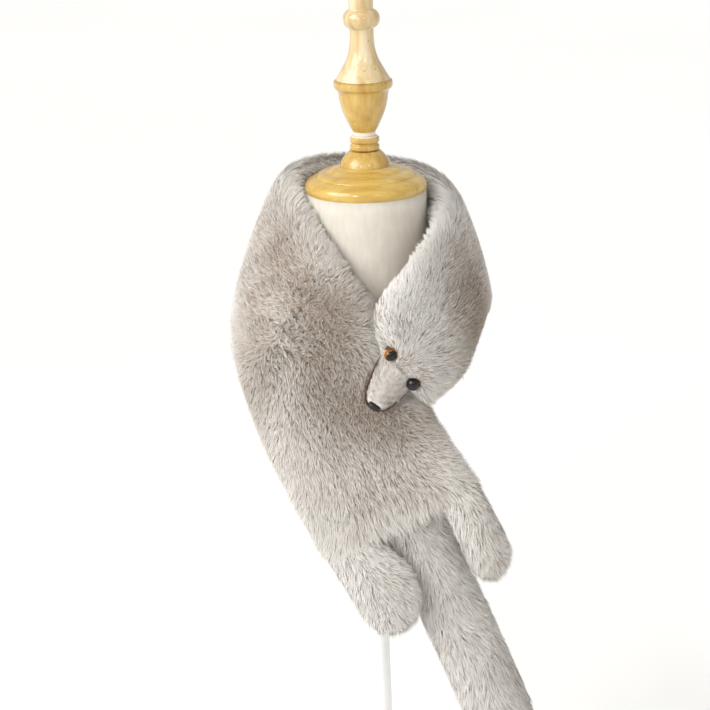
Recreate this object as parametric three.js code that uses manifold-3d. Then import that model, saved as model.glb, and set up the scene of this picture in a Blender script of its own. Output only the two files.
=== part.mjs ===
// Fur collar wrap with an animal head, two paws and a tail, worn on a neck form with a turned wooden cap.
// Millimetres, +Z up, +X to the viewer's right, +Y away from the viewer.
// The origin is on the floor, under the middle of the round base. Every fur solid reaches to the fur's tips.
import * as THREE from 'three';
import { mergeVertices } from 'three/addons/utils/BufferGeometryUtils.js';
import Module from 'manifold-3d';

// Driving sizes of the stand, from the floor up
const RIM_HEIGHT = 690; // lower edge of the wooden cap above the floor
const NECK_RADIUS = 56.5; // fabric neck under the cap, a girth of 355
const BASE_RADIUS = 130;
const BASE_THICKNESS = 8;
const POLE_RADIUS = 8;
const COLLAR_RADIUS = 16; // weld collar at the foot of the pole
const COLLAR_HEIGHT = 14;
const STEEL_ROUND = 3; // chamfer of the base and of the collar
const PLATE_THICKNESS = 9; // wooden plate that closes the neck form below
const PLATE_INSET = 8; // its edge inside the block's lower edge
const PLATE_ROUND = 2; // chamfer of its lower edge
const FORM_BOTTOM = -178; // lower end of the fabric form, measured from the cap's rim

// Driving sizes of the wrap
const SEAM_GAP = 0.3; // least gap between the pieces of the pelt
const SEAM_INSET = 0.23; // each stretch's end from its seam at the pelt's middle, as the seams fan out
const EDGE_ROUND = 19; // length over which a pelt edge rounds off
const FACE_STEPS = 7; // facets across the outer face of a pelt section
const EDGE_STEPS = 6; // facets round each edge of a section
const RING_SPACING = 13; // length of pelt between two rings
const NARROW_ROUND = 0.6; // the most of a section's half width that its rounded edge takes
const LEAST_RINGS = 4; // steps along the shortest stretch
const HEAD_DOME = 5; // how far the head's fur bulges past its last section
const DOME_TURNS = [25, 50, 70]; // degrees over the head's dome at which its rings lie
const SOCKET_GAP = 0.3; // round the eyes and the nose, and between the mask and the fur of the head
const GROWTH_LOST = 0.15; // of the head's growth, where its facets slant

const fur = new THREE.MeshStandardMaterial({ color: 0xc4bbb0, roughness: 0.95, metalness: 0 });
const tailFur = new THREE.MeshStandardMaterial({ color: 0xc1bdb6, roughness: 0.95, metalness: 0 });
const flock = new THREE.MeshStandardMaterial({ color: 0xd6cfc8, roughness: 0.9, metalness: 0 });
const leather = new THREE.MeshStandardMaterial({ color: 0x6b4c3a, roughness: 0.6, metalness: 0 });
const blackGlass = new THREE.MeshStandardMaterial({ color: 0x0c0a0a, roughness: 0.12, metalness: 0 });
const noseRubber = new THREE.MeshStandardMaterial({ color: 0x141211, roughness: 0.35, metalness: 0 });
const linen = new THREE.MeshStandardMaterial({ color: 0xe9e0cf, roughness: 0.9, metalness: 0 });
const wood = new THREE.MeshStandardMaterial({ color: 0xd9b063, roughness: 0.35, metalness: 0 });
const whiteSteel = new THREE.MeshStandardMaterial({ color: 0xf0efec, roughness: 0.4, metalness: 0.1 });

const wasm = await Module();
wasm.setup();

const wrapOnForm = new THREE.Group();
const fromRim = new THREE.Group(); // every height below is counted from the cap's rim
fromRim.position.z = RIM_HEIGHT;
wrapOnForm.add(fromRim);

// Adds a closed mesh under its node's name
function add(name, geometry, material) {
  const mesh = new THREE.Mesh(geometry, material);
  mesh.name = name;
  fromRim.add(mesh);
}

// Skin over a row of rings that all have the same number of points. Each end closes on one point.
function skin(rings, firstPole, lastPole) {
  const count = rings[0].length;
  const points = [firstPole, ...rings.flat(), lastPole];
  const faces = [];
  const last = points.length - 1;
  const at = (ring, k) => 1 + ring * count + (k % count);
  for (let k = 0; k < count; k++) {
    faces.push(0, at(0, k + 1), at(0, k));
    faces.push(last, at(rings.length - 1, k), at(rings.length - 1, k + 1));
  }
  for (let ring = 0; ring + 1 < rings.length; ring++) {
    for (let k = 0; k < count; k++) {
      faces.push(at(ring, k), at(ring, k + 1), at(ring + 1, k + 1));
      faces.push(at(ring, k), at(ring + 1, k + 1), at(ring + 1, k));
    }
  }
  const geometry = new THREE.BufferGeometry().setFromPoints(points);
  geometry.setIndex(faces);
  return outward(geometry);
}

// Turns the faces round where the enclosed volume comes out negative
function outward(geometry) {
  const p = geometry.getAttribute('position');
  const index = Array.from(geometry.getIndex().array);
  const [a, b, c] = [new THREE.Vector3(), new THREE.Vector3(), new THREE.Vector3()];
  let volume = 0;
  for (let i = 0; i < index.length; i += 3) {
    a.fromBufferAttribute(p, index[i]);
    b.fromBufferAttribute(p, index[i + 1]);
    c.fromBufferAttribute(p, index[i + 2]);
    volume += a.dot(b.cross(c)) / 6;
  }
  if (volume < 0) {
    for (let i = 0; i < index.length; i += 3) [index[i + 1], index[i + 2]] = [index[i + 2], index[i + 1]];
    geometry.setIndex(index);
  }
  return geometry;
}

// Turned piece from a profile of [radius, height] pairs, heights from the cap's rim
function turned(profile, segments) {
  const lathe = new THREE.LatheGeometry(profile.map(([r, z]) => new THREE.Vector2(r, z)), segments);
  lathe.rotateX(Math.PI / 2);
  lathe.deleteAttribute('normal');
  lathe.deleteAttribute('uv');
  return outward(mergeVertices(lathe, 0.001));
}

// The pelt: one row for each place along it, from the hem by the paws, over the left shoulder, round the
// nape and down the right side to the head. inner is the edge next to the neck and outer the lower edge,
// both to the fur's tips with heights from the cap's rim. crown is how far the middle stands out.
const PELT = [
  { place: 'hem', inner: [96, -76, -262], outer: [-52, -70, -337], crown: 2, thick: 24 },
  { place: 'above the paws', inner: [71, -75, -222], outer: [-70, -66, -302], crown: 2, thick: 25 },
  { place: 'lower front', inner: [52, -74, -186], outer: [-85, -60, -272], crown: 3, thick: 26 },
  { place: 'under the head', inner: [30, -72.5, -145], outer: [-104, -50, -231], crown: 5, thick: 26 },
  { place: 'under the V', inner: [5, -72.5, -90], outer: [-116, -38, -197], crown: 8, thick: 26 },
  { place: 'left of the V', inner: [-17, -66.5, -60], outer: [-123, -22, -172], crown: 9, thick: 26 },
  { place: 'left breast', inner: [-40.2, -49.9, -27], outer: [-125, -2, -152], crown: 9, thick: 26 },
  { place: 'left shoulder', inner: [-65.5, -15.4, 2], outer: [-124, 28, -139], crown: 9, thick: 26 },
  { place: 'behind the left shoulder', inner: [-68, 20, 15], outer: [-110, 62, -134], crown: 8, thick: 26 },
  { place: 'left of the nape', inner: [-46, 53, 19], outer: [-72, 99, -132], crown: 6, thick: 26 },
  { place: 'nape', inner: [0, 69.5, 16], outer: [0, 115, -131], crown: 5, thick: 26 },
  { place: 'right of the nape', inner: [41, 57, 12], outer: [72, 97, -131], crown: 5, thick: 26 },
  { place: 'behind the right shoulder', inner: [65, 27, 5], outer: [103, 56, -130], crown: 5, thick: 26 },
  { place: 'right shoulder', inner: [73, -8, -8], outer: [107, 12, -126], crown: 5, thick: 26 },
  { place: 'right breast', inner: [57, -46, -30], outer: [103, -24, -126], crown: 5, thick: 26 },
  { place: 'right of the V', inner: [31, -84, -56], outer: [95, -48, -141], crown: 7, thick: 26 },
  { place: 'over the V', inner: [4, -101, -86], outer: [83, -66, -162], crown: 8, thick: 27 },
  { place: 'temples', inner: [3, -104, -107], outer: [67, -77, -175], crown: 8, thick: 27 },
  { place: 'cheeks', inner: [9, -103, -126], outer: [50, -88, -184], crown: 6, thick: 26 },
];

// Where the pelt is cut and sewn, as a place between the rows above, counted from the hem
const SEAMS = [0, 5, 8, 10, 12, 14, 16, PELT.length - 1];
const STRETCHES = ['wrap_front', 'wrap_left_shoulder', 'wrap_nape_left', 'wrap_nape_right',
  'wrap_right_shoulder', 'wrap_right_front', 'head'];

const innerEdge = new THREE.CatmullRomCurve3(PELT.map((row) => new THREE.Vector3(...row.inner)));
const outerEdge = new THREE.CatmullRomCurve3(PELT.map((row) => new THREE.Vector3(...row.outer)));

// A value of the table at a place between two rows
function between(key, place) {
  const row = Math.min(Math.floor(place), PELT.length - 2);
  const share = THREE.MathUtils.smoothstep(place - row, 0, 1);
  return THREE.MathUtils.lerp(PELT[row][key], PELT[row + 1][key], share);
}

// The flat frame of the pelt at a place: its middle, the ways along, across and out, and its half width
function peltFrame(place) {
  const t = place / (PELT.length - 1);
  const step = 0.004; // of the pelt's length, to find the way along it
  const across = outerEdge.getPoint(t).sub(innerEdge.getPoint(t));
  const middle = (u) => innerEdge.getPoint(u).add(outerEdge.getPoint(u)).multiplyScalar(0.5);
  const along = middle(Math.min(t + step, 1)).sub(middle(Math.max(t - step, 0))).normalize();
  const half = across.length() / 2;
  across.normalize();
  const out = along.clone().cross(across).normalize();
  return { centre: middle(t), across, along, out, half };
}

// One closed ring of the pelt, a flat oval that bends over its crown, lying across the pelt at a place
function peltRing(place, grow = 0) {
  const { centre, across, out, half } = peltFrame(place);
  const crown = between('crown', place);
  const deep = between('thick', place) / 2 + grow;
  const round = Math.min(EDGE_ROUND, half * NARROW_ROUND) + grow;
  const flat = half + grow - round;
  const section = [];
  for (let k = 0; k < FACE_STEPS; k++) section.push([-flat + (2 * flat * k) / FACE_STEPS, deep]);
  for (let k = 0; k < EDGE_STEPS; k++) {
    const turn = (Math.PI * k) / EDGE_STEPS;
    section.push([flat + round * Math.sin(turn), deep * Math.cos(turn)]);
  }
  for (let k = 0; k < FACE_STEPS; k++) section.push([flat - (2 * flat * k) / FACE_STEPS, -deep]);
  for (let k = 0; k < EDGE_STEPS; k++) {
    const turn = (Math.PI * k) / EDGE_STEPS;
    section.push([-flat - round * Math.sin(turn), -deep * Math.cos(turn)]);
  }
  return section.map(([a, h]) => {
    const share = a / half;
    const slope = (-2 * crown * share) / half;
    const lift = crown * (1 - share * share);
    const lean = 1 / Math.hypot(1, slope);
    return centre.clone()
      .addScaledVector(across, a - h * slope * lean)
      .addScaledVector(out, lift + h * lean);
  });
}

const ringMiddle = (ring) => new THREE.Vector3(...['x', 'y', 'z'].map((axis) => {
  return ring.reduce((sum, p) => sum + p[axis], 0) / ring.length;
}));

// Length of pelt between two places, along its middle
function peltLength(from, to) {
  const steps = 20;
  const middle = (k) => peltFrame(THREE.MathUtils.lerp(from, to, k / steps)).centre;
  let length = 0;
  for (let k = 0; k < steps; k++) length += middle(k).distanceTo(middle(k + 1));
  return length;
}

// A stretch of the pelt between two seams, its cut ends half a seam's gap short of them. The head's far
// end is domed, and grow makes it larger all round, to cut a neighbour clear of it.
function stretch(from, to, dome = 0, grow = 0) {
  const length = peltLength(from, to);
  const rings = Math.max(LEAST_RINGS, Math.round(length / RING_SPACING));
  const inset = ((to - from) * SEAM_INSET) / length;
  const places = Array.from({ length: rings + 1 }, (_, k) => {
    return THREE.MathUtils.lerp(from + inset, to - inset, k / rings);
  });
  const skins = places.map((place) => peltRing(place, grow));
  const last = skins[skins.length - 1];
  const middle = ringMiddle(last);
  const { along } = peltFrame(to);
  for (const turn of dome ? DOME_TURNS : []) {
    const angle = THREE.MathUtils.degToRad(turn);
    skins.push(last.map((p) => middle.clone().lerp(p, Math.cos(angle))
      .addScaledVector(along, (dome + grow) * Math.sin(angle))));
  }
  const pole = middle.clone().addScaledVector(along, dome ? dome + grow : 0);
  return skin(skins, ringMiddle(skins[0]), pole);
}

const pelts = {};
STRETCHES.forEach((name, k) => {
  const dome = name === 'head' ? HEAD_DOME : 0;
  pelts[name] = stretch(SEAMS[k], SEAMS[k + 1], dome);
});

// The paws and the tail hang from the hem. beyond is the distance past the hem, side the distance from its
// middle towards the outer edge, front the distance towards the viewer, and wide and deep are half sizes.
const LIMBS = {
  paw_left: { round: 34, rows: [
    { beyond: 0, side: 54.5, front: 0, wide: 27.5, deep: 11.5 },
    { beyond: 16, side: 51, front: 7, wide: 29.5, deep: 12.5 },
    { beyond: 36, side: 47, front: 12, wide: 32, deep: 13.5 },
    { beyond: 64, side: 48, front: 14, wide: 32.5, deep: 14 },
    { beyond: 98, side: 53, front: 12, wide: 30, deep: 14 },
  ] },
  tail: { round: 34, rows: [
    { beyond: 0, side: -7.5, front: 0, wide: 33.6, deep: 11.5 },
    { beyond: 16, side: -6.5, front: -8, wide: 32.5, deep: 14.5 },
    { beyond: 36, side: -3, front: -13, wide: 33, deep: 18.5 },
    { beyond: 80, side: 3, front: -14, wide: 33, deep: 20 },
    { beyond: 140, side: 10, front: -13, wide: 33.5, deep: 21.5 },
    { beyond: 209, side: 20, front: -10, wide: 34, deep: 22.5 },
    { beyond: 280, side: 34, front: -7, wide: 33, deep: 22.5 },
    { beyond: 345, side: 49, front: -5, wide: 30, deep: 21 },
  ] },
  paw_right: { round: 28, rows: [
    { beyond: 0, side: -62, front: 0, wide: 20.2, deep: 11.5 },
    { beyond: 16, side: -61.5, front: 6, wide: 21, deep: 12.5 },
    { beyond: 36, side: -60.5, front: 12, wide: 22, deep: 13.5 },
    { beyond: 64, side: -57, front: 14, wide: 23, deep: 14 },
    { beyond: 92, side: -51, front: 12, wide: 22, deep: 13.5 },
  ] },
};
const LIMB_STEPS = 18; // facets round a limb
const LIMB_SPACING = 14; // length between two rings of a limb
const TIP_TURNS = [0, 22, 42, 58, 70, 80]; // degrees round a limb's tip at which its rings lie

// A limb's section at a distance past the hem, smooth through the rows of its table
function limbSection(rows, beyond) {
  const next = Math.max(1, rows.findIndex((row) => row.beyond >= beyond));
  const at = (k) => rows[Math.min(Math.max(k, 0), rows.length - 1)];
  const [p, a, b, q] = [at(next - 2), at(next - 1), at(next), at(next + 1)];
  const span = b.beyond - a.beyond;
  const u = (beyond - a.beyond) / span;
  const value = (key) => {
    const leave = (span * (b[key] - p[key])) / (b.beyond - p.beyond);
    const reach = (span * (q[key] - a[key])) / (q.beyond - a.beyond);
    return a[key] + u * leave + u * u * (3 * (b[key] - a[key]) - 2 * leave - reach)
      + u * u * u * (leave + reach - 2 * (b[key] - a[key]));
  };
  return { side: value('side'), front: value('front'), wide: value('wide'), deep: value('deep') };
}

// A limb of fur: rounded sections along its table and a round tip
function limb({ rows, round }) {
  const { centre, across, along, out } = peltFrame(0);
  const length = rows[rows.length - 1].beyond;
  const body = length - round;
  const steps = Math.round(body / LIMB_SPACING);
  const stops = Array.from({ length: steps }, (_, k) => [SEAM_GAP / 2 + (body * k) / steps, 1]);
  for (const turn of TIP_TURNS) {
    const angle = THREE.MathUtils.degToRad(turn);
    stops.push([body + round * Math.sin(angle), Math.cos(angle)]);
  }
  const place = ({ side, front }, beyond) => centre.clone().addScaledVector(along, -beyond)
    .addScaledVector(across, side).addScaledVector(out, front);
  const rings = stops.map(([beyond, share]) => {
    const section = limbSection(rows, beyond);
    return Array.from({ length: LIMB_STEPS }, (_, k) => {
      const turn = (2 * Math.PI * k) / LIMB_STEPS;
      return place(section, beyond)
        .addScaledVector(across, section.wide * share * Math.cos(turn))
        .addScaledVector(out, section.deep * share * Math.sin(turn));
    });
  });
  return skin(rings, ringMiddle(rings[0]), place(limbSection(rows, length), length));
}

for (const [name, table] of Object.entries(LIMBS)) {
  add(name, limb(table), name === 'tail' ? tailFur : fur);
}

// The face: a mask with a short nap over a leather lip, two glass eyes and a nose. Its frame lies between
// the eyes, at the lip's level, with forward towards the nose, aside to the right eye and up off the pelt.
const FACE_CENTRE = new THREE.Vector3(27.8, -89, -145.2);
const FACE_TURN = THREE.MathUtils.degToRad(34.8); // of the nose, from straight down towards the left
const forward = new THREE.Vector3(-Math.sin(FACE_TURN), 0, -Math.cos(FACE_TURN));
const aside = new THREE.Vector3(Math.cos(FACE_TURN), 0, -Math.sin(FACE_TURN));
const up = new THREE.Vector3(0, -1, 0);

// The mask from between the eyes to its tip: distance forward, half width and height of its ridge
const MASK = [
  { forward: -2, wide: 19.5, high: 21 },
  { forward: 8, wide: 19, high: 20.5 },
  { forward: 18, wide: 17.8, high: 18.5 },
  { forward: 29, wide: 15.4, high: 16 },
  { forward: 38, wide: 12.8, high: 13.5 },
  { forward: 43.5, wide: 10, high: 11.5 },
  { forward: 46.8, wide: 6.5, high: 9 },
];
const MASK_TIP = 48.6;
const MASK_STEPS = 14; // facets over the mask from lip to lip
const LIP_THICKNESS = 2.6;
const LIP_PROUD = 1.2; // how far the lip shows beyond the mask
const LIP_TIP = 2.6; // half width of the lip at its tip
const EGG_STEPS = 20; // facets round an eye or the nose

const facePoint = (ahead, side, high) => FACE_CENTRE.clone().addScaledVector(forward, ahead)
  .addScaledVector(aside, side).addScaledVector(up, high);

function mask() {
  const rings = MASK.map((row) => {
    const over = Array.from({ length: MASK_STEPS + 1 }, (_, k) => {
      const turn = (Math.PI * k) / MASK_STEPS;
      return facePoint(row.forward, row.wide * Math.cos(turn), row.high * Math.sin(turn));
    });
    return [...over, facePoint(row.forward, -row.wide / 2, 0), facePoint(row.forward, row.wide / 2, 0)];
  });
  const rear = MASK[0];
  const front = MASK[MASK.length - 1];
  return skin(rings, facePoint(rear.forward, 0, rear.high / 2), facePoint(MASK_TIP, 0, front.high / 3));
}

// The lip: a flat plate that follows the mask's outline, a little larger, just under it
function lip() {
  const rings = [...MASK, { forward: MASK_TIP, wide: LIP_TIP }].map((row, k) => {
    const ahead = row.forward + (LIP_PROUD * k) / MASK.length;
    const half = row.wide + LIP_PROUD;
    const top = -SOCKET_GAP;
    const bottom = top - LIP_THICKNESS;
    return [facePoint(ahead, -half, top), facePoint(ahead, half, top),
      facePoint(ahead, half, bottom), facePoint(ahead, -half, bottom)];
  });
  return skin(rings, ringMiddle(rings[0]), ringMiddle(rings[rings.length - 1]));
}

// Ball or egg in the face's frame
function egg({ ahead, side, high, size }, swell = 0) {
  const ball = new THREE.SphereGeometry(1, EGG_STEPS, (EGG_STEPS * 3) / 5);
  ball.deleteAttribute('normal');
  ball.deleteAttribute('uv');
  const turn = new THREE.Matrix4().makeBasis(aside, forward, up);
  ball.scale(size.aside + swell, size.forward + swell, size.up + swell);
  const shape = mergeVertices(ball, 0.0001);
  return outward(shape.applyMatrix4(turn).translate(...facePoint(ahead, side, high).toArray()));
}

const EYE_SIZE = { aside: 5.7, forward: 5.7, up: 5.7 };
const FACE_EGGS = {
  eye_left: { ahead: -7, side: -18, high: 21.4, size: EYE_SIZE },
  eye_right: { ahead: 5.2, side: 15.2, high: 18.6, size: EYE_SIZE },
  nose: { ahead: 45.3, side: -0.6, high: 9, size: { aside: 6.6, forward: 3.6, up: 4.4 } },
};

const solid = (geometry) => new wasm.Manifold(new wasm.Mesh({
  numProp: 3,
  vertProperties: Float32Array.from(geometry.getAttribute('position').array),
  triVerts: Uint32Array.from(geometry.getIndex().array),
}));

function geometryOf(body) {
  const { vertProperties, triVerts } = body.getMesh();
  const geometry = new THREE.BufferGeometry();
  geometry.setAttribute('position', new THREE.Float32BufferAttribute(vertProperties, 3));
  geometry.setIndex(Array.from(triVerts));
  return geometry;
}

const cutBy = (geometry, tools) => {
  return geometryOf(tools.reduce((body, tool) => body.subtract(tool), solid(geometry)));
};
const sockets = Object.values(FACE_EGGS).map((place) => solid(egg(place, SOCKET_GAP)));
const grownHead = solid(stretch(...SEAMS.slice(-2), HEAD_DOME, SOCKET_GAP + GROWTH_LOST));

pelts.head = cutBy(pelts.head, sockets);
for (const [name, geometry] of Object.entries(pelts)) add(name, geometry, fur);
add('mask', cutBy(mask(), [...sockets, grownHead]), flock);
add('lip', cutBy(lip(), [...sockets, grownHead]), leather);
for (const [name, place] of Object.entries(FACE_EGGS)) {
  add(name, egg(place), name === 'nose' ? noseRubber : blackGlass);
}

// The neck form's fabric block: its half width, and its reach to the front and to the back, at each height
// below the cap's rim. It is round at the neck and widens towards the sides, where shoulders would be.
const FORM = [
  { height: 0, wide: NECK_RADIUS, front: NECK_RADIUS, back: NECK_RADIUS },
  { height: -40, wide: NECK_RADIUS, front: NECK_RADIUS, back: NECK_RADIUS },
  { height: -62, wide: 58.5, front: 56.8, back: 57 },
  { height: -90, wide: 65, front: 57, back: 59.5 },
  { height: -120, wide: 75, front: 56.5, back: 63.5 },
  { height: -148, wide: 84, front: 55.5, back: 67 },
  { height: -163, wide: 87, front: 54.5, back: 68 },
  { height: -173, wide: 86, front: 52.5, back: 66.5 },
  { height: FORM_BOTTOM, wide: 82, front: 49, back: 63 },
];
const FORM_STEPS = 40; // facets round the block

function formRing({ height, wide, front, back }, inset = 0) {
  return Array.from({ length: FORM_STEPS }, (_, k) => {
    const turn = (2 * Math.PI * k) / FORM_STEPS;
    const reach = Math.sin(turn) > 0 ? back : front;
    return new THREE.Vector3((wide - inset) * Math.cos(turn), (reach - inset) * Math.sin(turn), height);
  });
}

function formSolid(rings) {
  const level = (ring) => new THREE.Vector3(0, 0, ring[0].z);
  return skin(rings, level(rings[0]), level(rings[rings.length - 1]));
}

add('neck_block', formSolid(FORM.map((row) => formRing(row))), linen);
const foot = FORM[FORM.length - 1];
const plateTurns = [[0, 0], [0, PLATE_THICKNESS - PLATE_ROUND], [PLATE_ROUND, PLATE_THICKNESS]];
add('bottom_plate', formSolid(plateTurns.map(([inset, drop]) => {
  return formRing({ ...foot, height: FORM_BOTTOM - drop }, PLATE_INSET + inset);
})), wood);

// The wooden cap and finial, the pole and the base, turned on the form's axis: [radius, height] pairs
const CAP_PROFILE = [[0, 0], [56.5, 0], [57.3, 4], [55.5, 9], [50, 12.5], [46.7, 13.8], [46, 15],
  [42, 17.5], [36, 18.5], [32, 21], [26, 22.5], [24, 23.5], [0, 23.5]];
const DOME_PROFILE = [[0, 23.5], [23.8, 23.5], [22.4, 28], [19, 33], [14.5, 37.7], [0, 37.7]];
const BEAD_PROFILE = [[0, 37.7], [11.5, 37.7], [13.8, 39.5], [13.8, 42.5], [12, 44.6], [13.8, 46.5],
  [13.8, 50], [11.5, 52], [0, 52]];
const URN_PROFILE = [[0, 52], [10.5, 52], [10.5, 56], [11.2, 56.8], [16.1, 66.4], [20.1, 76], [22.4, 85.5],
  [24.3, 95], [26.5, 97], [27.4, 99], [27.4, 103], [26, 104.6], [0, 104.6]];
const SPIRE_PROFILE = [[0, 104.6], [25.6, 104.6], [20.1, 114], [15, 123.7], [12.3, 133], [11.2, 143],
  [11.2, 152], [14.5, 154], [17, 158.5], [17, 163], [14.5, 167.5], [11.2, 169.5], [11.2, 188],
  [9.5, 194], [6, 198.4], [0, 200]];
const WIDE_STEPS = 40; // facets round the cap and the base
const SLIM_STEPS = 26; // facets round the finial and the pole
add('cap', turned(CAP_PROFILE, WIDE_STEPS), wood);
add('finial_dome', turned(DOME_PROFILE, SLIM_STEPS), wood);
add('finial_beads', turned(BEAD_PROFILE, SLIM_STEPS), wood);
add('finial_urn', turned(URN_PROFILE, SLIM_STEPS), wood);
add('finial_spire', turned(SPIRE_PROFILE, SLIM_STEPS), wood);

const PLATE_BOTTOM = FORM_BOTTOM - PLATE_THICKNESS;
const baseTop = BASE_THICKNESS - RIM_HEIGHT;
const collarTop = baseTop + COLLAR_HEIGHT;
add('pole', turned([[0, PLATE_BOTTOM], [POLE_RADIUS, PLATE_BOTTOM], [POLE_RADIUS, collarTop],
  [COLLAR_RADIUS - STEEL_ROUND, collarTop], [COLLAR_RADIUS, collarTop - STEEL_ROUND],
  [COLLAR_RADIUS, baseTop], [0, baseTop]], SLIM_STEPS), whiteSteel);
add('base', turned([[0, baseTop], [BASE_RADIUS - STEEL_ROUND, baseTop], [BASE_RADIUS, baseTop - STEEL_ROUND],
  [BASE_RADIUS, -RIM_HEIGHT], [0, -RIM_HEIGHT]], WIDE_STEPS), whiteSteel);

export default wrapOnForm;
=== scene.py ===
# Fur collar wrap with an animal head, two paws and a tail, on a neck form with a turned wooden cap.
# Metres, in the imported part's frame: +Z up, +X to the viewer's right, the floor at z 0.
import math
from types import SimpleNamespace

import bmesh
import bpy
import numpy as np
from mathutils import Matrix, Vector, kdtree


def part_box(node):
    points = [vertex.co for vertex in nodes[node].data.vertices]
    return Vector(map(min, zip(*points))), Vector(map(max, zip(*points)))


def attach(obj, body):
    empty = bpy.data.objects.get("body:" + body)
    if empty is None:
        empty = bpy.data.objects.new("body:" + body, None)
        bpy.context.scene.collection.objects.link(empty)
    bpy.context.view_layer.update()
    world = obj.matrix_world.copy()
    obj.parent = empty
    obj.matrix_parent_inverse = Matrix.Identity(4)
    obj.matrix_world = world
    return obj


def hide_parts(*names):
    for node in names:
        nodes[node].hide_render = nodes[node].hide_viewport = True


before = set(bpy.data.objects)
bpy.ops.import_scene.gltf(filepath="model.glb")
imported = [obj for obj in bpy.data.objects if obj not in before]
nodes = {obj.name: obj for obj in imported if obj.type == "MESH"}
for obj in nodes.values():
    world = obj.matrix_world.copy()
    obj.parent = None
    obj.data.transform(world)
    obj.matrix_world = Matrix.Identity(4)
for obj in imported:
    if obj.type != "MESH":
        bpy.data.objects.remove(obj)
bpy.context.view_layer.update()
scene = bpy.context.scene
MM = 0.001
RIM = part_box("cap")[0].z  # height of the cap's lower edge


# Camera at the photograph's angle
IMAGE_SIDE = 710
FOCAL_PIXELS = 2675
SENSOR = 36
LOOK_DOWN = math.radians(16.5)
LEAN = math.radians(1.7)
CAMERA_PLACE = Vector((-0.014864, -2.440873, 1.252093))

look = Vector((0, math.cos(LOOK_DOWN), -math.sin(LOOK_DOWN)))
level = Vector((1, 0, 0))
rise = level.cross(look)
right = level * math.cos(LEAN) - rise * math.sin(LEAN)
top = level * math.sin(LEAN) + rise * math.cos(LEAN)
lens = bpy.data.cameras.new("camera")
lens.sensor_width = SENSOR
lens.lens = SENSOR * FOCAL_PIXELS / IMAGE_SIDE
lens.clip_end = 100
camera = bpy.data.objects.new("camera", lens)
camera.matrix_world = Matrix.Translation(CAMERA_PLACE) @ Matrix((right, top, -look)).transposed().to_4x4()
scene.collection.objects.link(camera)
scene.camera = camera
scene.view_settings.view_transform = "Standard"


# Soft light from a window at the left, a lamp that sparks on the varnish and a warm fill at the right
LIT_POINT = Vector((0.02, -0.1, 0.56))
WINDOW_WAY = Vector((1.0, 0.55, -0.75))
WINDOW_COLOUR = (1.0, 0.99, 0.975)
WINDOW_STRENGTH = 2.6
WINDOW_SOFTNESS = math.radians(42)
LAMPS = {  # place, power, size and colour
    "spark_on_varnish": ((-0.75, -1.9, 1.7), 7, 0.16, (1.0, 1.0, 1.0)),
    "fill_right": ((0.70, -1.80, 1.95), 4.2, 0.2, (1.0, 0.88, 0.76)),
}
SKY_COLOUR = (1.0, 0.995, 0.985)
SKY_STRENGTH = 0.62


def add_light(name, kind, colour, power, place, way, **settings):
    lamp = bpy.data.lights.new(name, kind)
    lamp.color = colour
    lamp.energy = power
    for key, value in settings.items():
        setattr(lamp, key, value)
    lit = bpy.data.objects.new(name, lamp)
    lit.location = place
    lit.rotation_euler = way.to_track_quat("-Z", "Y").to_euler()
    scene.collection.objects.link(lit)


add_light("window_left", "SUN", WINDOW_COLOUR, WINDOW_STRENGTH, (0, 0, 0), WINDOW_WAY,
          angle=WINDOW_SOFTNESS)
for lamp_name, (lamp_place, lamp_power, lamp_size, lamp_colour) in LAMPS.items():
    add_light(lamp_name, "AREA", lamp_colour, lamp_power, lamp_place, LIT_POINT - Vector(lamp_place),
              size=lamp_size)
sky = bpy.data.worlds.new("room")
sky.use_nodes = True
background = sky.node_tree.nodes["Background"].inputs
background["Color"].default_value = (*SKY_COLOUR, 1)
background["Strength"].default_value = SKY_STRENGTH
scene.world = sky


# One socket of a material, on which maths adds Math nodes
class Shade:
    def __init__(self, nodes_of, socket):
        self.nodes_of = nodes_of
        self.socket = socket

    def maths(self, operation, first, second):
        settings = {"operation": operation}
        return self.nodes_of.add("ShaderNodeMath", settings, {0: first, 1: second})

    def __add__(self, other):
        return self.maths("ADD", self, other)

    def __radd__(self, other):
        return self.maths("ADD", other, self)

    def __sub__(self, other):
        return self.maths("SUBTRACT", self, other)

    def __rsub__(self, other):
        return self.maths("SUBTRACT", other, self)

    def __mul__(self, other):
        return self.maths("MULTIPLY", self, other)

    def __rmul__(self, other):
        return self.maths("MULTIPLY", other, self)


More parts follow.
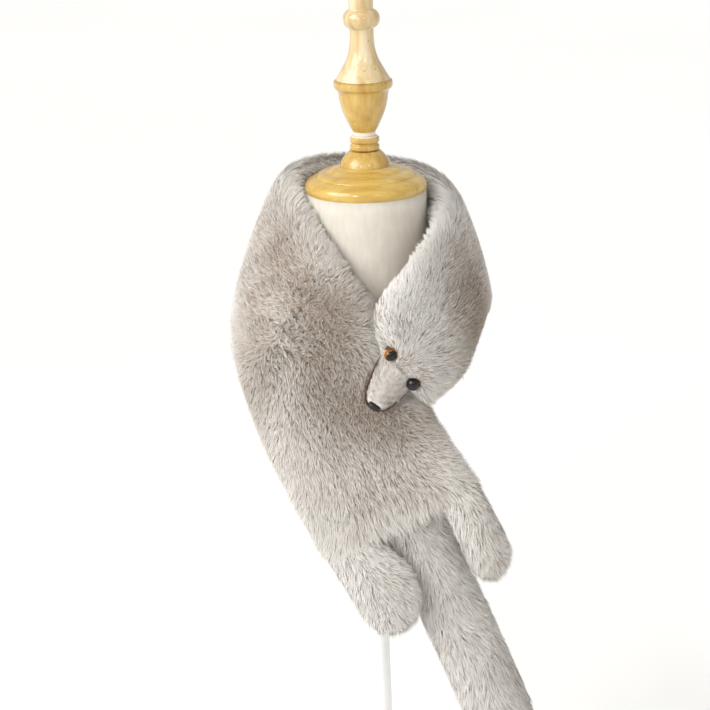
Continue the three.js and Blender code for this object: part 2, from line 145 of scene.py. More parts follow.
# A material with its Principled shader, and the one way that other nodes are added to it
class Finish:
    def __init__(self, name, roughness=0.5, **plain):
        self.material = bpy.data.materials.new(name)
        self.material.use_nodes = True
        self.tree = self.material.node_tree
        self.surface = self.tree.nodes["Principled BSDF"]
        self.surface.inputs["Roughness"].default_value = roughness
        for socket, value in plain.items():
            self.surface.inputs[socket.replace("_", " ")].default_value = value

    def add(self, kind, settings=None, inputs=None, output=0):
        node = self.tree.nodes.new(kind)
        for key, value in (settings or {}).items():
            if key == "stops":
                self.set_stops(node.color_ramp, value)
            else:
                setattr(node, key, value)
        for key, value in (inputs or {}).items():
            self.feed(node.inputs[key], value)
        return Shade(self, node.outputs[output])

    def set_stops(self, ramp, stops):
        while len(ramp.elements) < len(stops):
            ramp.elements.new(1.0)
        for element, (place, colour) in zip(ramp.elements, stops):
            element.position = place
            element.color = (*colour, 1)

    def feed(self, socket, value):
        if isinstance(value, Shade):
            self.tree.links.new(value.socket, socket)
        else:
            socket.default_value = value

    def put(self, **values):
        for key, value in values.items():
            self.feed(self.surface.inputs[key.replace("_", " ")], value)
        return self

    def coordinates(self):
        return self.add("ShaderNodeTexCoord", output="Object")

    def stretched(self, scale):
        return self.add("ShaderNodeMapping", {}, {"Vector": self.coordinates(), "Scale": scale})

    def clouds(self, size, detail=3, where=None, distortion=0.0):
        inputs = {"Vector": where or self.coordinates(), "Scale": 1 / size, "Detail": detail}
        inputs["Distortion"] = distortion
        return self.add("ShaderNodeTexNoise", {}, inputs)

    def ramp(self, factor, stops):
        return self.add("ShaderNodeValToRGB", {"stops": stops}, {"Fac": factor})

    def limits(self, value, low, high, to_low=0.0, to_high=1.0):
        inputs = {"Value": value, "From Min": low, "From Max": high, "To Min": to_low, "To Max": to_high}
        return self.add("ShaderNodeMapRange", {}, inputs)

    def mix(self, factor, first, second):
        return self.add("ShaderNodeMix", {"data_type": "RGBA"}, {0: factor, 6: first, 7: second}, output=2)

    def split(self, vector):
        parts = self.add("ShaderNodeSeparateXYZ", {}, {0: vector}).socket.node
        return [Shade(self, socket) for socket in parts.outputs]

    def bump(self, height, depth, strength=1.0):
        return self.add("ShaderNodeBump", {}, {"Height": height, "Distance": depth, "Strength": strength})


# Linear colour from the 0 to 255 values that a picture shows
def seen(red, green, blue):
    return tuple(((c / 255 + 0.055) / 1.055) ** 2.4 for c in (red, green, blue))


def opaque(colour):
    return (*colour, 1)


# Fur: u of the map is the hair's own tone and v runs from its root to its tip
OWN_SHARE = 0.62
TIP_SHARE = 0.38
BLOTCH_SHARE = 0.16


def fur_finish(name, stops, roughness):
    fur = Finish(name, roughness=roughness, Specular_IOR_Level=0.25)
    own_tone, along, _ = fur.split(fur.add("ShaderNodeUVMap", {"uv_map": "hair"}))
    blotch = fur.clouds(0.03, 2) - 0.5
    tone = own_tone * OWN_SHARE + along * TIP_SHARE + blotch * BLOTCH_SHARE
    return fur.put(Base_Color=fur.ramp(tone, stops)).material


body_fur = fur_finish("body_fur", [
    (0.0, seen(118, 98, 80)),
    (0.2, seen(158, 142, 128)),
    (0.35, seen(190, 180, 170)),
    (0.6, seen(229, 225, 219)),
    (1.0, seen(250, 249, 247)),
], 0.62)
tail_fur = fur_finish("tail_fur", [
    (0.0, seen(118, 106, 95)),
    (0.35, seen(184, 176, 167)),
    (0.6, seen(228, 224, 218)),
    (1.0, seen(251, 249, 246)),
], 0.6)


def underfur_finish():
    down = Finish("underfur", roughness=0.95, Specular_IOR_Level=0.1)
    fine = down.clouds(0.0012, 4)
    broad = down.clouds(0.02, 3)
    colour = down.ramp(fine * 0.6 + broad * 0.4, [(0.3, seen(164, 148, 134)), (0.7, seen(206, 193, 181))])
    return down.put(Base_Color=colour, Normal=down.bump(fine, 0.0008)).material


underfur = underfur_finish()


def flock_finish():
    flock = Finish("flock", roughness=0.9, Specular_IOR_Level=0.15)
    speckle = flock.clouds(0.0007, 3)
    patches = flock.clouds(0.012, 3)
    colour = flock.ramp(speckle * 0.45 + patches * 0.55, [
        (0.32, seen(174, 166, 159)), (0.52, seen(206, 200, 195)), (0.72, seen(228, 224, 221))])
    return flock.put(Base_Color=colour, Normal=flock.bump(speckle, 0.0003)).material


flock = flock_finish()


def leather_finish(name, dark, light):
    leather = Finish(name, roughness=0.5, Specular_IOR_Level=0.35)
    pores = leather.add("ShaderNodeTexVoronoi", {"feature": "DISTANCE_TO_EDGE"},
                        {"Vector": leather.coordinates(), "Scale": 1400})
    worn = leather.clouds(0.004, 4)
    colour = leather.ramp(worn, [(0.3, dark), (0.7, light)])
    gloss = leather.limits(worn, 0.3, 0.7, 0.38, 0.62)
    return leather.put(Base_Color=colour, Roughness=gloss, Normal=leather.bump(pores, 0.0002)).material


lip_leather = leather_finish("lip_leather", seen(58, 36, 26), seen(106, 72, 52))
lid_suede = leather_finish("lid_suede", seen(176, 150, 122), seen(206, 184, 156))
# The right eye's lid in dark leather: painted shade for the shadow under that eye
lid_in_painted_shade = leather_finish("lid_in_painted_shade", seen(36, 28, 24), seen(66, 52, 44))


# Glass eye: a black pupil towards pupil_way and amber round it, both under a clear gloss
def eye_finish(name, centre, pupil_way, pupil_size, gloss):
    eye = Finish(name, roughness=gloss, Specular_IOR_Level=0.45)
    from_centre = eye.add("ShaderNodeVectorMath", {"operation": "SUBTRACT"},
                          {0: eye.coordinates(), 1: centre})
    unit = eye.add("ShaderNodeVectorMath", {"operation": "NORMALIZE"}, {0: from_centre})
    facing = eye.add("ShaderNodeVectorMath", {"operation": "DOT_PRODUCT"},
                     {0: unit, 1: Vector(pupil_way).normalized()}, output="Value")
    fibres = eye.clouds(0.0008, 4)
    amber = eye.ramp(fibres, [(0.3, seen(84, 42, 12)), (0.7, seen(178, 108, 34))])
    pupil = eye.limits(facing, math.cos(pupil_size + 0.12), math.cos(pupil_size))
    return eye.put(Base_Color=eye.mix(pupil, amber, opaque(seen(10, 8, 7)))).material


def nose_finish():
    nose = Finish("nose_rubber", roughness=0.34, Specular_IOR_Level=0.45)
    grain = nose.add("ShaderNodeTexVoronoi", {}, {"Vector": nose.coordinates(), "Scale": 1600})
    worn = nose.clouds(0.003, 3)
    colour = nose.ramp(worn, [(0.3, seen(12, 11, 11)), (0.7, seen(34, 31, 30))])
    return nose.put(Base_Color=colour, Normal=nose.bump(grain, 0.00015)).material


nose_rubber = nose_finish()


# Natural cotton cloth: two crossed threads, slubs and a few husk specks
THREAD_PITCH = 0.00075


def cloth_finish():
    cloth = Finish("neck_cloth", roughness=0.88, Specular_IOR_Level=0.2)
    round_neck, height, _ = cloth.split(cloth.add("ShaderNodeUVMap", {"uv_map": "cloth"}))
    turns = 2 * math.pi / THREAD_PITCH
    warp = cloth.add("ShaderNodeMath", {"operation": "SINE"}, {0: round_neck * turns})
    weft = cloth.add("ShaderNodeMath", {"operation": "SINE"}, {0: height * turns})
    weave = warp * weft
    slub = cloth.clouds(0.006, 2, cloth.stretched((1, 1, 0.4)))
    fleck = cloth.clouds(0.0022, 2)
    colour = cloth.ramp(slub * 0.7 + weave * 0.05, [
        (0.25, seen(224, 216, 202)), (0.55, seen(232, 227, 217))])
    flecks = cloth.limits(fleck, 0.73, 0.78, 0.0, 0.35)
    colour = cloth.mix(flecks, colour, opaque(seen(176, 150, 116)))
    return cloth.put(Base_Color=colour, Normal=cloth.bump(weave + slub * 0.6, 0.00012)).material


neck_cloth = cloth_finish()


# Height where the varnish is missing under the urn: fading in, and out again
PALE_RING = (RIM + 0.0505, RIM + 0.0515, RIM + 0.0562, RIM + 0.0552)


# Turned pale wood under varnish: long grain, darker figure, small knots and foxing
def wood_finish(name, grain_way, light, middle, dark):
    wood = Finish(name, roughness=0.3, Coat_Roughness=0.14, Specular_IOR_Level=0.45)
    long_grain = wood.clouds(0.009, 5, wood.stretched([1 - 0.86 * way for way in grain_way]), 0.9)
    figure = wood.clouds(0.05, 3, wood.stretched([1 - 0.6 * way for way in grain_way]), 1.6)
    pores = wood.clouds(0.0016, 2, wood.stretched([1 - 0.92 * way for way in grain_way]))
    colour = wood.ramp(long_grain * 0.55 + figure * 0.45, [(0.32, dark), (0.5, middle), (0.66, light)])
    foxing = wood.limits(wood.clouds(0.0035, 3), 0.66, 0.74, 0.0, 0.55)
    colour = wood.mix(foxing, colour, opaque(seen(128, 88, 44)))
    colour = wood.mix(wood.limits(pores, 0.5, 0.75, 0.0, 0.25), colour, opaque(dark))
    height = wood.split(wood.coordinates())[2]
    scraped = wood.limits(height, *PALE_RING[:2]) * wood.limits(height, *PALE_RING[2:])
    colour = wood.mix(scraped * 0.85, colour, opaque(seen(232, 220, 206)))
    gloss = wood.limits(figure, 0.3, 0.7, 0.22, 0.4)
    return wood.put(Base_Color=colour, Roughness=gloss, Coat_Weight=0.6,
                    Normal=wood.bump(pores, 0.0001)).material


UPRIGHT, LEVEL = (0, 0, 1), (1, 0, 0)  # which way the grain runs
cap_wood = wood_finish("cap_wood", LEVEL, seen(212, 184, 102), seen(202, 166, 80), seen(176, 136, 60))
golden_wood = wood_finish("golden_wood", UPRIGHT, seen(208, 178, 102), seen(192, 156, 76), seen(162, 120, 52))
pale_wood = wood_finish("pale_wood", UPRIGHT, seen(227, 213, 182), seen(214, 190, 144), seen(184, 150, 94))


def lacquer_finish():
    lacquer = Finish("white_lacquer", roughness=0.35, Coat_Weight=0.3, Coat_Roughness=0.1)
    peel = lacquer.clouds(0.0016, 2)
    dust = lacquer.clouds(0.05, 4)
    colour = lacquer.ramp(dust, [(0.3, seen(244, 244, 241)), (0.7, seen(252, 252, 250))])
    gloss = lacquer.limits(dust, 0.3, 0.7, 0.3, 0.45)
    return lacquer.put(Base_Color=colour, Roughness=gloss, Normal=lacquer.bump(peel, 0.00008)).material


white_lacquer = lacquer_finish()


# The pale floor is the only thing that isn't part of the object
FLOOR_SIZE = 40
FLOOR_STOPS = [(0.3, (0.93, 0.93, 0.92)), (0.7, (0.95, 0.95, 0.94))]
floor_shape = bmesh.new()
bmesh.ops.create_grid(floor_shape, x_segments=8, y_segments=8, size=FLOOR_SIZE / 2)
floor_mesh = bpy.data.meshes.new("floor")
floor_shape.to_mesh(floor_mesh)
floor_shape.free()
floor_paint = Finish("floor_paint", roughness=0.9, Specular_IOR_Level=0.1)
floor_tone = floor_paint.ramp(floor_paint.clouds(1.2, 3), FLOOR_STOPS)
floor_mesh.materials.append(floor_paint.put(Base_Color=floor_tone).material)
floor = bpy.data.objects.new("floor", floor_mesh)
scene.collection.objects.link(floor)


# Makes a mesh a piece that rides with the part and stands for CAD nodes
def finish_piece(name, mesh, material, slot, *stands_for):
    mesh.materials.clear()
    mesh.materials.append(material)
    piece = bpy.data.objects.new(name, mesh)
    scene.collection.objects.link(piece)
    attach(piece, "root")
    if stands_for:
        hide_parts(*stands_for)
    return piece


# A CAD node's shape as a bmesh, with its loose triangles joined
def merged(node):
    shape = bmesh.new()
    shape.from_mesh(nodes[node].data)
    bmesh.ops.remove_doubles(shape, verts=shape.verts, dist=1e-5)
    shape.normal_update()
    return shape


def mesh_from(name, shape):
    for face in shape.faces:
        face.smooth = True
    mesh = bpy.data.meshes.new(name)
    shape.to_mesh(mesh)
    shape.free()
    return mesh


# Sharp corners of a made piece, broken by a small round
CORNER = math.radians(38)  # a corner is sharp where it turns by more than this


def break_corners(shape, width):
    sharp = [e for e in shape.edges if e.is_manifold and e.calc_face_angle() > CORNER]
    bmesh.ops.bevel(shape, geom=sharp, offset=width, offset_type="OFFSET", segments=2, profile=0.5,
                    affect="EDGES", material=-1)


# Turned pieces, spun from the outline that the CAD node has, with its rounds made smooth
SPIN_STEPS = 96
ROUND_STEPS = 5  # from one corner of the outline to the next


def outline_of(node):
    shape = merged(node)
    found = {(round(math.hypot(v.co.x, v.co.y), 5), round(v.co.z, 5)) for v in shape.verts}
    shape.free()
    low, high = min(z for r, z in found), max(z for r, z in found)
    return sorted(found, key=lambda p: (p[1], -p[0] if p[1] == high and high != low else p[0]))


def rounded(outline):
    points = [Vector(p) for p in outline]
    ways = [(b - a).normalized() for a, b in zip(points, points[1:])]
    smooth = [points[0]]
    for k in range(len(points) - 1):
        start, end, way = points[k], points[k + 1], ways[k]
        before = ways[k - 1] if k and ways[k - 1].angle(way) < CORNER else way
        after = ways[k + 1] if k + 1 < len(ways) and ways[k + 1].angle(way) < CORNER else way
        length = (end - start).length
        leave = (before + way).normalized() * length
        reach = (after + way).normalized() * length
        for step in range(1, ROUND_STEPS + 1):
            u = step / ROUND_STEPS
            bend = start + leave * u + (3 * (end - start) - 2 * leave - reach) * u ** 2
            smooth.append(bend + (leave + reach - 2 * (end - start)) * u ** 3)
    return smooth


def turned(name, material, slot):
    shape = bmesh.new()
    line = [shape.verts.new((r, 0, z)) for r, z in rounded(outline_of(name))]
    for a, b in zip(line, line[1:]):
        shape.edges.new((a, b))
    bmesh.ops.spin(shape, geom=shape.verts[:] + shape.edges[:], cent=(0, 0, 0), axis=(0, 0, 1),
                   angle=2 * math.pi, steps=SPIN_STEPS, use_merge=True, use_duplicate=False)
    bmesh.ops.remove_doubles(shape, verts=shape.verts, dist=1e-6)
    bmesh.ops.recalc_face_normals(shape, faces=shape.faces)
    break_corners(shape, 0.0005)
    finish_piece(name + "_turned", mesh_from(name, shape), material, slot, name)


turned("cap", cap_wood, "wood")
for part in ("finial_dome", "finial_beads", "finial_urn"):
    turned(part, golden_wood, "wood")
turned("finial_spire", pale_wood, "wood")
for part in ("pole", "base"):
    turned(part, white_lacquer, "white_steel")


def subdivide(piece, levels):
    rounder = piece.modifiers.new("round", "SUBSURF")
    rounder.levels = levels
    rounder.render_levels = levels


# A CAD node's shape in even small faces, with its facets smoothed away
GRAINS = {"head": (0.0016, 3), "mask": (0.0008, 5), "lip": (0.0005, 3)}  # size of a face, and passes
SMOOTHING = 0.5  # share of the way that a corner moves in one pass


def softened(node):
    grain, passes = GRAINS[node]
    draft = bpy.data.objects.new("draft", mesh_from("draft", merged(node)))
    scene.collection.objects.link(draft)
    remesh = draft.modifiers.new("remesh", "REMESH")
    remesh.mode = "VOXEL"
    remesh.voxel_size = grain
    smooth = draft.modifiers.new("smooth", "SMOOTH")
    smooth.iterations = passes
    smooth.factor = SMOOTHING
    shape = bmesh.new()
    shape.from_object(draft, bpy.context.evaluated_depsgraph_get())
    bpy.data.objects.remove(draft)
    return shape


# The neck form's plate and its cloth, stretched over the block and turned in at both ends
plate = merged("bottom_plate")
break_corners(plate, 0.0008)
finish_piece("closing_plate", mesh_from("closing_plate", plate), golden_wood, "wood", "bottom_plate")

CLOTH_THICKNESS = 0.0012
NECK_RADIUS = 0.0565  # under the cap, where the cloth's threads have their real size


def neck_cover():
    shape = merged("neck_block")
    ends = [v for v in shape.verts if math.hypot(v.co.x, v.co.y) < 0.001]
    bmesh.ops.delete(shape, geom=ends, context="VERTS")
    bmesh.ops.subdivide_edges(shape, edges=shape.edges, cuts=2, smooth=0.9, use_grid_fill=True)
    map_of = shape.loops.layers.uv.new("cloth")
    for face in shape.faces:
        middle = math.atan2(face.calc_center_median().y, face.calc_center_median().x)
        for loop in face.loops:
            turn = math.atan2(loop.vert.co.y, loop.vert.co.x)
            turn += 2 * math.pi * round((middle - turn) / (2 * math.pi))
            loop[map_of].uv = (turn * NECK_RADIUS, loop.vert.co.z)
    mesh = mesh_from("neck_cover", shape)
    piece = finish_piece("neck_cover", mesh, neck_cloth, "linen", "neck_block")
    wall = piece.modifiers.new("wall", "SOLIDIFY")
    wall.thickness = CLOTH_THICKNESS
    wall.offset = -1


neck_cover()


# The pelt's two edges from the hem by the paws, over the left shoulder, round the nape and down to the
# head, in millimetres with heights from the cap's rim. The hair's lie follows the line between them.
INNER_EDGE = [(96, -76, -262), (52, -74, -186), (5, -72.5, -90), (-40.2, -49.9, -27), (-68, 20, 15),
              (0, 69.5, 16), (65, 27, 5), (57, -46, -30), (4, -101, -86), (9, -103, -126)]
OUTER_EDGE = [(-52, -70, -337), (-85, -60, -272), (-116, -38, -197), (-125, -2, -152), (-110, 62, -134),
              (0, 115, -131), (103, 56, -130), (103, -24, -126), (83, -66, -162), (50, -88, -184)]
GUIDES_PER_ROW = 24


def unit(vectors):
    return vectors / np.maximum(np.linalg.norm(vectors, axis=-1, keepdims=True), 1e-9)


def dot(first, second):
    return (first * second).sum(-1, keepdims=True)


# A smooth line of count places through some points, which it passes at even steps
def through(points, count):
    ends = np.vstack([2 * points[0] - points[1], points, 2 * points[-1] - points[-2]])
    places = np.linspace(0, len(points) - 1, count)
    row = np.minimum(places.astype(int), len(points) - 2)
    u = (places - row)[:, None]
    a, b, c, d = (ends[row + k] for k in range(4))
    bend = (2 * a - 5 * b + 4 * c - d) * u ** 2 + (3 * b - a - 3 * c + d) * u ** 3
    return 0.5 * (2 * b + (c - a) * u + bend)


guide_count = (len(INNER_EDGE) - 1) * GUIDES_PER_ROW + 1
inner_line, outer_line = (
    through(np.array(rows, float) * MM + (0, 0, RIM), guide_count) for rows in (INNER_EDGE, OUTER_EDGE))
guide_place = np.linspace(0, len(INNER_EDGE) - 1, guide_count)
guide_centre = (inner_line + outer_line) / 2
guide_along = unit(np.gradient(guide_centre, axis=0))
guide_across = unit(outer_line - inner_line)
guide_out = unit(np.cross(guide_along, guide_across))
guide_half = np.linalg.norm(outer_line - inner_line, axis=1) / 2


# Smooth random vectors that change over about size metres
WAVES = 9


def ripple(points, size, seed):
    waves = np.random.default_rng(seed)
    total = np.zeros_like(points)
    for _ in range(WAVES):
        turn = unit(waves.normal(size=3)) * waves.uniform(0.6, 1.5) * 2 * math.pi / size
        total += np.sin((points @ turn)[:, None] + waves.uniform(0, 2 * math.pi, 3))
    return total / math.sqrt(WAVES)


# The row of the guide that each point belongs to: the one it is level with, and near to
SPARE_ROWS = 0.1  # how far the guide is searched past a stretch's seams
NEARNESS = 0.04  # what a distance counts against being level
AT_ONCE = 4000  # points, to spare memory


def row_at(place):
    return round(place * GUIDES_PER_ROW)


def guide_for(points, low, high):
    near = np.flatnonzero((guide_place >= low - SPARE_ROWS) & (guide_place <= high + SPARE_ROWS))
    found = []
    for part in np.array_split(points, max(1, len(points) // AT_ONCE)):
        away = part[:, None, :] - guide_centre[near]
        ahead = (away * guide_along[near]).sum(2)
        found.append(near[(ahead ** 2 + NEARNESS * (away ** 2).sum(2)).argmin(1)])
    return np.concatenate(found)


SEAM_REACH = 0.016  # a seam's faces lie this near to the guide's plane
SEAM_FACING = 0.9  # and face along the guide by at least this


# The skin under a fur solid: its corners, their normals clear of the seams' faces, and its open triangles
def skin_of(node, seams):
    shape = softened(node) if node in GRAINS else merged(node)
    bmesh.ops.triangulate(shape, faces=shape.faces)
    shape.verts.ensure_lookup_table()
    shape.normal_update()
    closed = set()
    for row in map(row_at, seams):
        centre, way = Vector(guide_centre[row]), Vector(guide_along[row])
        for face in shape.faces:
            gap = (face.calc_center_median() - centre).dot(way)
            if abs(face.normal.dot(way)) > SEAM_FACING and abs(gap) < SEAM_REACH:
                closed.add(face.index)
    points = np.array([v.co for v in shape.verts])
    normals = np.zeros_like(points)
    for face in shape.faces:
        if face.index not in closed:
            for v in face.verts:
                normals[v.index] += np.array(face.normal) * face.calc_area()
    open_faces = np.array([[v.index for v in f.verts] for f in shape.faces if f.index not in closed])
    return shape, points, unit(normals), open_faces


# The woolly body under the hair: the solid drawn in by the hair's depth, with its seams left in place
def underfur_piece(name, node, seams, depth, material, slot):
    shape, points, normals, open_faces = skin_of(node, seams)
    crease = shape.edges.layers.float.new("crease_edge")
    in_open = set(map(tuple, np.sort(open_faces, 1)))
    for edge in shape.edges:
        if not all(tuple(sorted(v.index for v in f.verts)) in in_open for f in edge.link_faces):
            edge[crease] = 1.0
    rows = [row_at(place) for place in seams]
    for v in shape.verts:
        inwards = -normals[v.index]
        for way, middle in zip(guide_along[rows], guide_centre[rows]):
            if abs((points[v.index] - middle) @ way) < SEAM_REACH:
                inwards = inwards - way * (inwards @ way)
        v.co = Vector(points[v.index] + inwards * depth(points[v.index]))
    piece = finish_piece(name, mesh_from(name, shape), material, slot, node)
    if node not in GRAINS:
        subdivide(piece, 1)
    return piece


TUFT = 6  # hairs that lean together
TUFT_PULL = 0.25  # at most this share of the way to the hair that leads them
WAIST_PULL = 0.4  # and half way up by this share of that
TUFT_TONE = 0.05  # how far a whole tuft strays from the tone around it
HAIR_TONE = 0.1  # how far a single hair does
STEEPNESS = (0.08, 0.9)  # least and most depth that a hair climbs, as a share of its length
START_STEEPER = 1.5  # a hair is steeper than that in its lower half, and flatter in its upper half
END_STEEPER = 0.45
TWIST = 0.5  # radians that a blade turns out of the skin's plane
BLADE_WAIST = 0.8  # width half way up, as a share of the root's
SPIKE_REACH = 0.55  # an underwool spike ends at this share of the upper half
SPIKE_TONE = 0.8  # and has this share of a blade's tone
SHEEN = 0.2  # how far the hairs' shading strays from the skin's
CROWN = 0.35  # how much of a hair's own way is in its shading
CALM_REACH = 0.68  # where the fur isn't patchy, its hairs have the colour of this share of their length


# One mesh of blades, each a quad and a triangle with five corners, and of spikes, each a triangle
def hair_mesh(name, base, middle, tip, side, wool, tone, contrast, glow):
    b, w = np.flatnonzero(~wool), np.flatnonzero(wool)
    waist = side * BLADE_WAIST
    spike_tip = middle * (1 - SPIKE_REACH) + tip * SPIKE_REACH
    blade_points = np.stack([(base - side)[b], (base + side)[b], (middle + waist)[b], (middle - waist)[b],
                             tip[b]], 1).reshape(-1, 3)
    spike_points = np.stack([(base - side)[w], (base + side)[w], spike_tip[w]], 1).reshape(-1, 3)
    points = np.vstack([blade_points, spike_points])
    at = np.arange(len(b))[:, None] * 5
    spikes = np.arange(len(blade_points), len(points))
    corners = np.concatenate([(at + [0, 1, 2, 3]).ravel(), (at + [3, 2, 4]).ravel(), spikes])
    sizes = np.repeat([4, 3], [len(b), len(b) + len(w)])
    mesh = bpy.data.meshes.new(name)
    mesh.vertices.add(len(points))
    mesh.vertices.foreach_set("co", points.astype(np.float32).ravel())
    mesh.loops.add(len(corners))
    mesh.loops.foreach_set("vertex_index", corners.astype(np.int32))
    mesh.polygons.add(len(sizes))
    mesh.polygons.foreach_set("loop_start", (np.cumsum(sizes) - sizes).astype(np.int32))
    mesh.polygons.foreach_set("loop_total", sizes.astype(np.int32))
    mesh.polygons.foreach_set("use_smooth", np.ones(len(sizes), bool))

    def on_corners(values):
        return np.concatenate([np.repeat(values[b], 5, 0), np.repeat(values[w], 3, 0)])

    reach = np.concatenate([np.tile([0, 0, 0.5, 0.5, 1], len(b)), np.tile([0, 0, 0.7], len(w))])
    reach = CALM_REACH + (reach - CALM_REACH) * on_corners(contrast)
    hair_map = mesh.uv_layers.new(name="hair")
    tone_and_reach = np.stack([on_corners(tone), reach], 1)[corners]
    hair_map.data.foreach_set("uv", tone_and_reach.astype(np.float32).ravel())
    mesh.update()
    mesh.normals_split_custom_set_from_vertices(on_corners(glow))
    return mesh


# Which tuft each hair is in: that of the leader nearest to it
def tufts(roots, leaders):
    tree = kdtree.KDTree(len(leaders))
    for k, leader in enumerate(leaders):
        tree.insert(roots[leader], k)
    tree.balance()
    return np.array([tree.find(root)[1] for root in roots])


# Hair blades and underwool spikes on a skin, as one piece
def grow(name, roots, normals, lie, length, depth, width, tone, patchy, wool, material, slot):
    rng = np.random.default_rng(len(name) * 101 + len(roots))
    count = len(roots)
    steepness = np.clip(depth / length, *STEEPNESS)[:, None]
    start_rise = np.arcsin(np.clip(steepness * START_STEEPER, 0, 0.97))
    end_rise = np.arcsin(steepness * END_STEEPER)
    half = length[:, None] / 2
    base = roots - normals * depth[:, None]
    middle = base + half * (lie * np.cos(start_rise) + normals * np.sin(start_rise))
    tip = middle + half * (lie * np.cos(end_rise) + normals * np.sin(end_rise))
    leaders = rng.choice(count, max(1, count // TUFT), replace=False)
    tuft = tufts(roots, leaders)
    pull = rng.uniform(0.0, TUFT_PULL, (count, 1))
    tip += (tip[leaders[tuft]] - tip) * pull
    middle += (middle[leaders[tuft]] - middle) * pull * WAIST_PULL
    twist = rng.normal(0, TWIST, (count, 1))
    side = unit(np.cross(lie, normals))
    side = (side * np.cos(twist) + normals * np.sin(twist)) * width[:, None] / 2
    tuft_tone = rng.normal(0, TUFT_TONE, len(leaders))[tuft]
    tone = np.clip(tone + patchy * (tuft_tone + rng.normal(0, HAIR_TONE, count)), 0.01, 0.99)
    tone = np.where(wool, tone * SPIKE_TONE, tone)
    hair_face = normals * np.cos(end_rise) - lie * np.sin(end_rise)
    stray = SHEEN * patchy[:, None] * rng.normal(size=(count, 3))
    glow = unit(normals + CROWN * hair_face + stray)
    mesh = hair_mesh(name, base, middle, tip, side, wool, tone, np.minimum(patchy, 1), glow)
    return finish_piece(name, mesh, material, slot)


# Places for hair, spread evenly over a skin's triangles by area and weight
def scatter(points, normals, faces, per_square_metre, weight, seed):
    rng = np.random.default_rng(seed)
    a, b, c = (points[faces[:, k]] for k in range(3))
    area = np.linalg.norm(np.cross(b - a, c - a), axis=1) / 2 * weight
    count = round(area.sum() * per_square_metre)
    pick = rng.choice(len(faces), count, p=area / area.sum())
    u, v = np.sqrt(rng.uniform(size=count)), rng.uniform(size=count)
    shares = np.stack([1 - u, u * (1 - v), u * v], 1)[:, :, None]
    corners = faces[pick]
    return (points[corners] * shares).sum(1), unit((normals[corners] * shares).sum(1)), rng


def centre_of(node):
    low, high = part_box(node)
    return np.array((low + high) / 2)


# The face's own frame, between the eyes: towards the nose, towards the right eye and off the pelt
FACE_CENTRE = np.array([27.8, -89, -145.2]) * MM + (0, 0, RIM)
FACE_TURN = math.radians(34.8)
TO_NOSE = np.array([-math.sin(FACE_TURN), 0, -math.cos(FACE_TURN)])
TO_RIGHT_EYE = np.array([math.cos(FACE_TURN), 0, -math.sin(FACE_TURN)])
OFF_PELT = np.array([0, -1, 0])
EYES = {name: centre_of(name) for name in ("eye_left", "eye_right")}
FACE_HALF = 0.017
FACE_BACK = 0.006
MUZZLE_MIDDLE = 0.012  # ahead of the face's centre
MUZZLE_HALVES = (0.038, 0.019)  # long and wide


def eye_distance(points):
    return np.min([np.linalg.norm(points - eye, axis=1) for eye in EYES.values()], axis=0)


# How far a place is behind the eyes' line or beside the face
def face_distance(points):
    away = points - FACE_CENTRE
    return np.hypot(np.minimum(away @ TO_NOSE + FACE_BACK, 0),
                    np.maximum(np.abs(away @ TO_RIGHT_EYE) - FACE_HALF, 0))


# The muzzle's outline as an oval: which way is outwards, and how far outside it a place is
def beside_muzzle(points):
    away = points - FACE_CENTRE - TO_NOSE * MUZZLE_MIDDLE
    ahead, side = (away @ TO_NOSE)[:, None], (away @ TO_RIGHT_EYE)[:, None]
    outwards = unit(TO_NOSE * ahead / MUZZLE_HALVES[0] ** 2 + TO_RIGHT_EYE * side / MUZZLE_HALVES[1] ** 2)
    reach = np.hypot(ahead / MUZZLE_HALVES[0], side / MUZZLE_HALVES[1])
    return outwards, (reach - 1) * MUZZLE_HALVES[1]


# Tone over the pelt, in part the fur's own and in part painted light and shade: painted shade on the right
# side that turns from the light and under the cheek, painted light on the top at the back. (x, z) in metres,
# radii, and how much lighter
PELT_TONE_AND_PAINTED_SHADE = [((-0.046, 0.597), (0.036, 0.036), -0.38), ((-0.040, 0.545), (0.036, 0.045), -0.3),
               ((-0.020, 0.498), (0.044, 0.036), -0.3), ((0.022, 0.482), (0.034, 0.024), -0.25),
               ((0.030, 0.440), (0.060, 0.040), -0.06), ((-0.006, 0.605), (0.024, 0.040), -0.18),
               ((0.098, 0.585), (0.026, 0.060), -0.44), ((0.114, 0.538), (0.026, 0.045), -0.34),
               ((0.078, 0.620), (0.016, 0.030), -0.14), ((0.034, 0.590), (0.036, 0.050), 0.44),
               ((0.060, 0.680), (0.050, 0.030), 0.2), ((-0.114, 0.560), (0.024, 0.100), -0.34),
               ((-0.088, 0.648), (0.034, 0.036), -0.28), ((-0.020, 0.340), (0.050, 0.030), 0.12),
               ((-0.080, 0.685), (0.034, 0.040), -0.2), ((0.084, 0.512), (0.020, 0.024), -0.12),
               ((0.058, 0.494), (0.018, 0.014), -0.2)]
FRONT_END = (0.050, 0.100)  # the tones end where y is past this, and fade in over this


# From 0 where a value is at start to 1 where it is past it by reach
def rising(value, start, reach):
    return np.clip((value - start) / reach, 0, 1)


# Painted light and shade, with the fur's own tone, from the places above
def tone_and_painted_shade(points):
    tone = np.zeros(len(points))
    for (x, z), (wide, high), lighter in PELT_TONE_AND_PAINTED_SHADE:
        far = ((points[:, 0] - x) / wide) ** 2 + ((points[:, 2] - z) / high) ** 2
        tone += lighter * np.exp(-far)
    return tone * rising(-points[:, 1], -FRONT_END[0], FRONT_END[1])


BLADES = 1_050_000  # a square metre
WOOL_SHARE = 0.25  # underwool spikes to a blade
PELT_WIDTHS = (0.0010, 0.00046)  # of a spike and of a blade
